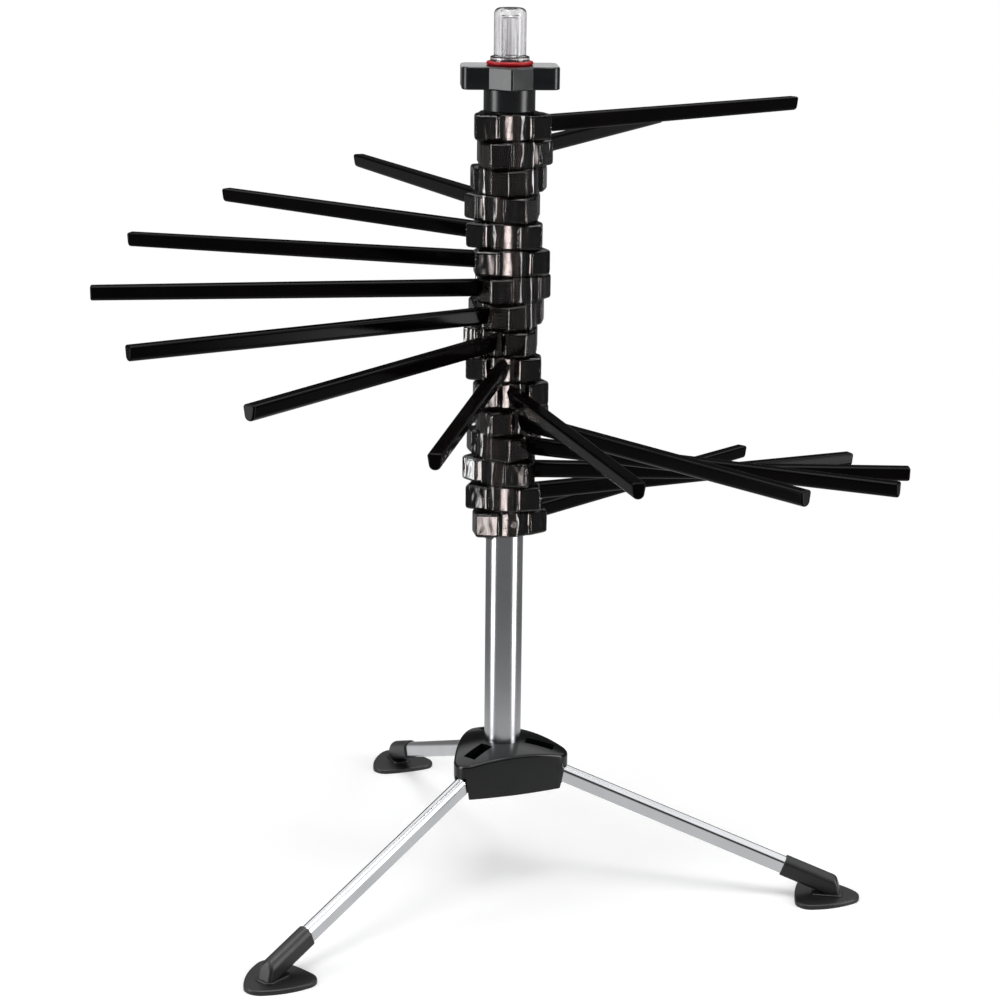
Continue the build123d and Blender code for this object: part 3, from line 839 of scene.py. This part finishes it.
# Post, collar, red ring and wand are turned
postUser = {"radius": 10.0, "wall": 1.5, "rim": 0.3}
postLow, postHigh = (corner.z for corner in cadBox("post_tube"))
post = turnShape([
    (postUser["radius"] - postUser["wall"], postLow),
    (postUser["radius"] - postUser["rim"], postLow),
    (postUser["radius"], postLow + postUser["rim"]),
    (postUser["radius"], postHigh - postUser["rim"]),
    (postUser["radius"] - postUser["rim"], postHigh),
    (postUser["radius"] - postUser["wall"], postHigh),
    (postUser["radius"] - postUser["wall"], postLow),
])
finishPiece(post, "anodisedPost", "post_tube")

collarUser = {"radius": 13.38, "bore": 10.08, "edgeRound": 0.7}
collarLow, collarHigh = (corner.z for corner in cadBox("clamp_collar"))
collar = addDrum(collarUser["radius"], collarLow, collarHigh, fullSides)
pickEdges(collar, lambda a, b: level(a, b, collarLow) or level(a, b, collarHigh))
roundPicked(collarUser["edgeRound"], segments=4)
collarBore = addDrum(collarUser["bore"], collarLow - cutOver, collarHigh + cutOver)
combine(collar, collarBore, "DIFFERENCE")
finishPiece(collar, "clampCollar", "clamp_collar")

seatUser = {"inner": 7.1, "outer": 12.1, "round": 0.95}
seatLow, seatHigh = (corner.z for corner in cadBox("wand_seat_ring"))
seat = turnShape([
    (seatUser["inner"], seatLow), (seatUser["outer"], seatLow),
    (seatUser["outer"], seatHigh), (seatUser["inner"], seatHigh), (seatUser["inner"], seatLow),
])
pickEdges(seat, lambda a, b: min(hypot(a.x, a.y), hypot(b.x, b.y)) > seatUser["outer"] - loose
          and (level(a, b, seatLow) or level(a, b, seatHigh)))
roundPicked(seatUser["round"], segments=6)
finishPiece(seat, "redSeatRing", "wand_seat_ring")

wandUser = {
    "rodEnd": 6.2, "rod": 6.7, "core": 4.5, "crown": 3.5, "rodLength": 190.0,
    "flange": 10.1, "flangeHeight": 2.5, "grip": 8.3, "gripLength": 24.3,
    "gripRound": 3.0, "flangeRound": 0.8, "coreRound": 2.2,
}


def makeWand(user, seatHeight):
    flangeTop = seatHeight + user["flangeHeight"]
    top = flangeTop + user["gripLength"]
    bottom = seatHeight - user["rodLength"]
    wand = turnShape([
        (user["rodEnd"], bottom), (user["rod"], seatHeight), (user["flange"], seatHeight),
        (user["flange"], flangeTop), (user["grip"], flangeTop), (user["grip"], top), (0, top),
    ])
    core = turnShape([
        (user["rodEnd"], bottom), (user["core"], bottom),
        (user["core"], top - user["crown"]), (0, top - user["crown"]),
    ])
    for height, reach, amount in (
        (top, user["grip"], user["gripRound"]), (flangeTop, user["flange"], user["flangeRound"]),
    ):
        pickEdges(wand, lambda a, b: level(a, b, height)
                  and abs(hypot(a.x, a.y) - reach) < loose and abs(hypot(b.x, b.y) - reach) < loose)
        roundPicked(amount, segments=8)
    pickEdges(core, lambda a, b: level(a, b, top - user["crown"])
              and min(hypot(a.x, a.y), hypot(b.x, b.y)) > user["core"] - loose)
    roundPicked(user["coreRound"], segments=6)
    choose(wand)
    core.select_set(True)
    bpy.ops.object.join()
    return wand


finishPiece(makeWand(wandUser, seatHigh), "clearWand", "pasta_wand")
print("stage: post, collar, red ring and wand made")

# Knob: two square wings and a wedge lobe in front and behind
knobUser = {
    "halfLength": 25.1, "halfDepth": 15.0, "endRound": 4.5, "lobeHalfWidth": 11.2,
    "lobeReach": 24.5, "ridgeRound": 0.9, "edgeRound": 0.8, "turn": 3.0,
    "recess": 10.4, "recessDepth": 3.1, "bore": 8.3,
}


def makeKnob(user):
    low, high = (corner.z for corner in cadBox("clamp_knob"))
    knob = addBlock(
        (-user["halfLength"], -user["halfDepth"], low), (user["halfLength"], user["halfDepth"], high)
    )
    pickEdges(knob, upright)
    roundPicked(user["endRound"], segments=10)
    across, reach = user["lobeHalfWidth"], user["lobeReach"]
    wedge = addBlock((-across, -reach, low), (across, reach, high))
    editAll(wedge)
    bpy.ops.mesh.bisect(plane_co=(0, 0, 0), plane_no=(1, 0, 0))
    bpy.ops.object.mode_set(mode="OBJECT")
    pickPoints(wedge, lambda p: abs(p.x) > loose)
    resizePicked(1, user["halfDepth"] / reach, 1)
    pickEdges(wedge, lambda a, b: upright(a, b) and abs(a.x) < near)
    roundPicked(user["ridgeRound"], segments=4)
    combine(knob, wedge, "UNION")
    tidyFlats(knob)
    pickEdges(knob, lambda a, b: level(a, b, low) or level(a, b, high))
    roundPicked(user["edgeRound"], segments=4)
    combine(knob, addDrum(user["bore"], low - cutOver, high + cutOver), "DIFFERENCE")
    combine(knob, addDrum(user["recess"], low - cutOver, low + user["recessDepth"]), "DIFFERENCE")
    turned = copyPiece(knob, user["turn"])
    bpy.data.objects.remove(knob)
    return turned


knobGroup.objects.link(finishPiece(makeKnob(knobUser), "clampKnob", "clamp_knob"))
print("stage: knob made")

# Tripod: tubes of arch section on knuckles, drawn along +X from the pivot
tripodUser = {
    "azimuths": (231.0, 351.0, 111.0), "pivotOut": 24.0, "pivotHeight": 66.196,
    "droop": 20.15, "floorOut": 204.4, "width": 7.0, "height": 9.15, "corner": 1.0,
    "wall": 1.0, "neck": 7.0, "plug": 22.0, "plugRoot": 1, "seatGap": 0.02, "pinHole": 2.05,
    "eyeRound": 0.5, "endRound": 0.25,
    "sleeveBeforeFloor": 51.0, "tubeInsert": 25.0, "sleeveWall": 1.0, "mouthRound": 0.5,
    "toeBeforeFloor": 16.0, "toeAngle": 75.0, "toeRound": 1.7,
}
legLength = (tripodUser["floorOut"] - tripodUser["pivotOut"]) / cos(radians(tripodUser["droop"]))
sleeveStart = legLength - tripodUser["sleeveBeforeFloor"]
tubeEnd = sleeveStart + tripodUser["tubeInsert"]


def addArch(start, end, outset, corner, user):
    half = user["width"] / 2 + outset
    lift = user["height"] / 2 + outset
    bar = addBlock((start, -half, -lift), (end, half, lift))
    pickEdges(bar, lambda a, b: alongX(a, b) and a.z > 0)
    roundPicked(half, segments=12)
    tidyFlats(bar, angle=0.01)
    if corner > 0:
        pickEdges(bar, lambda a, b: alongX(a, b) and level(a, b, -lift) and abs(a.y) > half - loose)
        roundPicked(corner, segments=5)
    return bar


def makeTube(user):
    tube = addArch(user["neck"], tubeEnd, 0, user["corner"], user)
    inside = addArch(user["neck"] - cutOver, tubeEnd + cutOver, -user["wall"], 0, user)
    combine(tube, inside, "DIFFERENCE")
    pickEdges(tube, lambda a, b: max(a.x, b.x) < user["neck"] + near)
    roundPicked(user["endRound"], segments=2)
    return tube


def layAcross(piece):
    piece.rotation_euler = (pi / 2, 0, 0)
    choose(piece)
    applyPlace()


def makeKnuckle(user):
    half, lift = user["width"] / 2, user["height"] / 2
    eye = addDrum(lift, -half, half, middleSides)
    pickEdges(eye, lambda a, b: level(a, b, -half) or level(a, b, half))
    roundPicked(user["eyeRound"], segments=3)
    layAcross(eye)
    neck = addBlock((0, -half, -lift), (user["neck"] - user["seatGap"], half, lift))
    pickEdges(neck, alongX)
    roundPicked(user["eyeRound"], segments=3)
    combine(eye, neck, "UNION")
    plugStart, plugEnd = user["neck"] - user["plugRoot"], user["neck"] + user["plug"]
    plug = addArch(plugStart, plugEnd, -user["wall"] - user["seatGap"], 0, user)
    combine(eye, plug, "UNION")
    hole = addDrum(user["pinHole"], -2 * cutOver, 2 * cutOver, smallSides)
    layAcross(hole)
    combine(eye, hole, "DIFFERENCE")
    return eye


# One closed piece round several others
def wrapHull(pieces, flatAngle):
    choose(pieces[0])
    for piece in pieces:
        piece.select_set(True)
    bpy.ops.object.join()
    editAll(pieces[0])
    bpy.ops.mesh.convex_hull()
    bpy.ops.object.mode_set(mode="OBJECT")
    tidyFlats(pieces[0], flatAngle)
    return pieces[0]


# A plate whose outline is the hull of upright rods: (x, y, radius) each
thinRod, thinRodSides = 0.4, 12  # the rods that only mark a bowed side


def hullPlate(rods, bottom, top):
    made = [
        addDrum(radius, bottom, top, middleSides if radius > thinRod else thinRodSides, (x, y))
        for x, y, radius in rods
    ]
    return wrapHull(made, flatAngle=0.05)


# Thin rods just inside an arc through two ends and a middle, to bow one side of a hull
def bowRods(first, middle, last, steps, skipped):
    a, b, c = (Vector(p) for p in (first, middle, last))
    twice = 2 * ((b - a).cross(c - a))
    ab, ac = (b - a).length_squared, (c - a).length_squared
    u, v = b - a, c - a
    centre = a + Vector((v.y * ab - u.y * ac, u.x * ac - v.x * ab)) / twice
    reach = (a - centre).length
    rods = []
    for step in range(1, steps):
        chord = a + (c - a) * step / steps
        onArc = centre + (chord - centre).normalized() * (reach - thinRod)
        rods.append((onArc.x, onArc.y, thinRod))
    return rods[skipped:-skipped]  # the corners' own rods stand at both ends


# Feet: a rounded triangular pad, a low skirt and the sleeve that slopes into it
padUser = {
    "thickness": 2.5, "toe": 201.0, "length": 35.5, "baseBow": 2.2, "halfWidth": 19.8,
    "sideHalfWidth": 15.4, "toeRound": 9.0, "baseRound": 8.0, "edgeRound": 1.0,
    "toeCentre": 189.466, "baseCentre": (172.027, 10.907),
    "baseSteps": 12, "baseSkipped": 2, "flankSteps": 16, "flankSkipped": 3,
    "skirtLength": 17.0, "skirtWidth": 1.1, "skirtHeight": 1.0, "skirtRound": 3.0,
    "skirtRoot": 1, "skirtEdgeRound": 0.5,
}


def makeFoot(user, legUser):
    base, toe, half = user["toe"] - user["length"], user["toe"], user["halfWidth"]
    middle = (base + user["length"] / 2, user["sideHalfWidth"])
    behind = (base - user["baseBow"], 0)
    rods = bowRods((base, -half), behind, (base, half), user["baseSteps"], user["baseSkipped"])
    for side in (1, -1):
        corner, flank = (base, side * half), (middle[0], side * middle[1])
        rods += bowRods(corner, flank, (toe, 0), user["flankSteps"], user["flankSkipped"])
    # the round corners, each touching its two sides
    out, across = user["baseCentre"]
    rods += [(user["toeCentre"], 0, user["toeRound"]), (out, across, user["baseRound"]),
             (out, -across, user["baseRound"])]
    foot = hullPlate(rods, 0, user["thickness"])
    pickEdges(foot, lambda a, b: level(a, b, user["thickness"]))
    roundPicked(user["edgeRound"], segments=4)
    skirtToe = legUser["floorOut"] - legUser["toeBeforeFloor"] + user["skirtWidth"]
    across = legUser["width"] / 2 + legUser["sleeveWall"] + user["skirtWidth"]
    skirt = addBlock(
        (skirtToe - user["skirtLength"], -across, user["thickness"] - user["skirtRoot"]),
        (skirtToe, across, user["thickness"] + user["skirtHeight"]),
    )
    pickEdges(skirt, upright)
    roundPicked(user["skirtRound"], segments=8)
    pickEdges(skirt, lambda a, b: level(a, b, user["thickness"] + user["skirtHeight"]))
    roundPicked(user["skirtEdgeRound"], segments=3)
    combine(foot, skirt, "UNION")
    outset = legUser["sleeveWall"]
    bar = addArch(sleeveStart, legLength, outset, legUser["corner"] + outset, legUser)
    sleeve = copyPiece(bar, 0, legUser["pivotHeight"], legUser["droop"], legUser["pivotOut"])
    bpy.data.objects.remove(bar)
    slope = radians(legUser["toeAngle"])
    toePlace = Vector((legUser["floorOut"] - legUser["toeBeforeFloor"], 0, user["thickness"]))
    toeNormal = Vector((sin(slope), 0, cos(slope)))
    for place, normal in ((toePlace, toeNormal), (Vector((0, 0, 0)), Vector((0, 0, -1)))):
        editAll(sleeve)
        bpy.ops.mesh.bisect(plane_co=place, plane_no=normal, use_fill=True, clear_outer=True)
        bpy.ops.object.mode_set(mode="OBJECT")
        if normal.x > 0:
            pickEdges(sleeve, lambda a, b: abs((a - place).dot(normal)) < near
                      and abs((b - place).dot(normal)) < near)
            roundPicked(legUser["toeRound"], segments=5)
    mouth = Vector((legUser["pivotOut"], 0, legUser["pivotHeight"]))
    droop = radians(legUser["droop"])
    along = Vector((cos(droop), 0, -sin(droop)))
    pickEdges(sleeve, lambda a, b: max((a - mouth).dot(along), (b - mouth).dot(along))
              < sleeveStart + near)
    roundPicked(legUser["mouthRound"], segments=3)
    combine(foot, sleeve, "UNION")
    bar = addArch(sleeveStart - cutOver, tubeEnd, 0, legUser["corner"], legUser)
    socket = copyPiece(bar, 0, legUser["pivotHeight"], legUser["droop"], legUser["pivotOut"])
    bpy.data.objects.remove(bar)
    combine(foot, socket, "DIFFERENCE")
    return foot


tubeForm, knuckleForm = makeTube(tripodUser), makeKnuckle(tripodUser)
footForm = makeFoot(padUser, tripodUser)
for leg, azimuth in enumerate(tripodUser["azimuths"], start=1):
    tilted = (azimuth, tripodUser["pivotHeight"], tripodUser["droop"], tripodUser["pivotOut"])
    finishPiece(copyPiece(tubeForm, *tilted), f"brightLeg{leg}", f"leg_tube_{leg}")
    finishPiece(copyPiece(knuckleForm, *tilted), f"legKnuckle{leg}", f"leg_knuckle_{leg}")
    finishPiece(copyPiece(footForm, azimuth), f"softFoot{leg}", f"foot_{leg}")
for form in (tubeForm, knuckleForm, footForm):
    bpy.data.objects.remove(form)
print("stage: legs and feet made")

# Hub: a domed triangle with bowed sides, drawn in below, with a slot for each leg
hubUser = {
    "below": 11.8, "above": 14.1, "cornerReach": 27.4, "cornerRound": 8.9, "sideReach": 24.0,
    "domeRadius": 103.0, "rimRound": 1.3, "draft": 2.0, "floor": 5.5, "postHole": 10.0,
    "slotInner": 13.0, "slotGap": 0.45, "capStart": 28.5, "capGap": 0.1, "slotOuter": 41.3,
    "pinLength": 18.0, "pinRadius": 2.0, "screwRecess": 5.6, "recessDepth": 3.2, "screwHole": 2.2,
    "capRoot": 1, "bowSteps": 6, "bowStep": 0.95, "upperBlank": 5, "lowerBlank": 0.2,
    "rimSteps": 5, "loopRise": 0.1, "loopSlack": 0.02, "facingUp": 0.9,
    "loopShares": (0.93, 0.9, 0.88, 0.86, 0.83, 0.8, 0.75, 0.7),
    "domeReach": 48, "domeStep": 1.5,
}


def hubRods(user, inset):
    turns = [radians(azimuth) for azimuth in tripodUser["azimuths"]]
    rods = []
    along = user["cornerReach"] / 2
    inner = user["sideReach"] - user["cornerRound"]
    sideCentre = (user["cornerReach"] ** 2 - inner ** 2) / (2 * (inner - along))
    sideRadius = sideCentre + user["sideReach"]
    for turn in turns:
        out = user["cornerReach"]
        rods.append((out * cos(turn), out * sin(turn), user["cornerRound"] - inset))
        # the bowed side lies opposite its corner
        for step in range(-user["bowSteps"], user["bowSteps"] + 1):
            swing = turn + pi + radians(step * user["bowStep"])
            reach = sideRadius - inset - thinRod
            x = sideCentre * cos(turn) + reach * cos(swing)
            y = sideCentre * sin(turn) + reach * sin(swing)
            rods.append((x, y, thinRod))
    return rods


def makeHub(user, legUser):
    pivot = legUser["pivotHeight"]
    low, high = pivot - user["below"], pivot + user["above"]
    domeCentre = high - user["domeRadius"]
    rim = pivot + user["upperBlank"]
    upper = hullPlate(hubRods(user, 0), pivot, rim)
    lower = hullPlate(hubRods(user, user["draft"]), low, low + user["lowerBlank"])
    hub = wrapHull([upper, lower], flatAngle=0.2)
    # loops for the rim's round, then wide ones that follow the dome; each at its own height
    pickFaces(hub, lambda centre, normal: normal.z > user["facingUp"])
    stamps, drops = [rim], [user["rimRound"]]
    done = 0.0
    for step in range(1, user["rimSteps"] + 1):
        angle = radians(90 / user["rimSteps"] * step)
        inset = user["rimRound"] * (1 - cos(angle))
        bpy.ops.mesh.inset(thickness=inset - done)
        bpy.ops.transform.translate(value=(0, 0, user["loopRise"]))
        done = inset
        stamps.append(stamps[-1] + user["loopRise"])
        drops.append(user["rimRound"] * (1 - sin(angle)))
    for share in user["loopShares"]:
        bpy.ops.mesh.extrude_region_move(TRANSFORM_OT_translate={"value": (0, 0, 0)})
        bpy.ops.transform.resize(value=(share, share, 1), center_override=(0, 0, 0))
    bpy.ops.object.mode_set(mode="OBJECT")
    loops = [
        [point.index for point in hub.data.vertices if abs(point.co.z - stamp) < user["loopSlack"]]
        for stamp in stamps
    ]
    top = hub.vertex_groups.new(name="top")
    aboveRim = [point.index for point in hub.data.vertices if point.co.z > rim - loose]
    top.add(aboveRim, 1.0, "REPLACE")
    domeSteps = round(user["domeReach"] / user["domeStep"])
    domeRadii = [user["domeReach"] - user["domeStep"] * step for step in range(domeSteps)]
    dome = turnShape([
        (radius, domeCentre + (user["domeRadius"] ** 2 - radius ** 2) ** 0.5) for radius in domeRadii
    ] + [(0, high)], fullSides)
    choose(hub)
    wrap = hub.modifiers.new("dome", "SHRINKWRAP")
    wrap.wrap_method = "PROJECT"
    wrap.use_project_x, wrap.use_project_y, wrap.use_project_z = False, False, True
    wrap.use_positive_direction = True
    wrap.use_negative_direction = True
    wrap.target = dome
    wrap.vertex_group = "top"
    bpy.ops.object.modifier_apply(modifier=wrap.name)
    bpy.data.objects.remove(dome)
    for loop, drop in zip(loops[:-1], drops[:-1]):
        startPick(hub, "VERT")
        for index in loop:
            hub.data.vertices[index].select = True
        bpy.ops.object.mode_set(mode="EDIT")
        movePicked(0, 0, -drop)
    # slots: open above the knuckle, closed by a sloping cap further out
    half = legUser["width"] / 2 + user["slotGap"]
    droop = radians(legUser["droop"])
    capLift = (legUser["height"] / 2 + user["capGap"]) / cos(droop)
    below, above = low - cutOver, high + cutOver
    slot = addBlock((user["slotInner"], -half, below), (user["capStart"], half, above))
    capRoot = user["capStart"] - user["capRoot"]
    capped = addBlock((capRoot, -half, below), (user["slotOuter"], half, pivot))
    for end in (capRoot, user["slotOuter"]):
        pickPoints(capped, lambda p: p.z > pivot - user["capRoot"] and abs(p.x - end) < loose)
        movePicked(0, 0, capLift - (end - legUser["pivotOut"]) * tan(droop))
    combine(slot, capped, "UNION")
    bore = user["pinRadius"]
    channel = addBlock(
        (legUser["pivotOut"] - bore, -user["pinLength"] / 2, below),
        (legUser["pivotOut"] + bore, user["pinLength"] / 2, pivot + bore),
    )
    pickEdges(channel, lambda a, b: abs(a.y - b.y) > loose and a.z > pivot)
    roundPicked(bore, segments=10)
    tidyFlats(channel, angle=0.01)
    combine(slot, channel, "UNION")
    for azimuth in legUser["azimuths"]:
        combine(hub, copyPiece(slot, azimuth), "DIFFERENCE")
    bpy.data.objects.remove(slot)
    for radius, bottom, end, sides in (
        (user["postHole"], low + user["floor"], above, fullSides),
        (user["screwHole"], below, high, largeSides),
        (user["screwRecess"], below, low + user["recessDepth"], largeSides),
    ):
        combine(hub, addDrum(radius, bottom, end, sides), "DIFFERENCE")
    return hub


finishPiece(makeHub(hubUser, tripodUser), "domedHub", "hub_body")
print("stage: hub made")
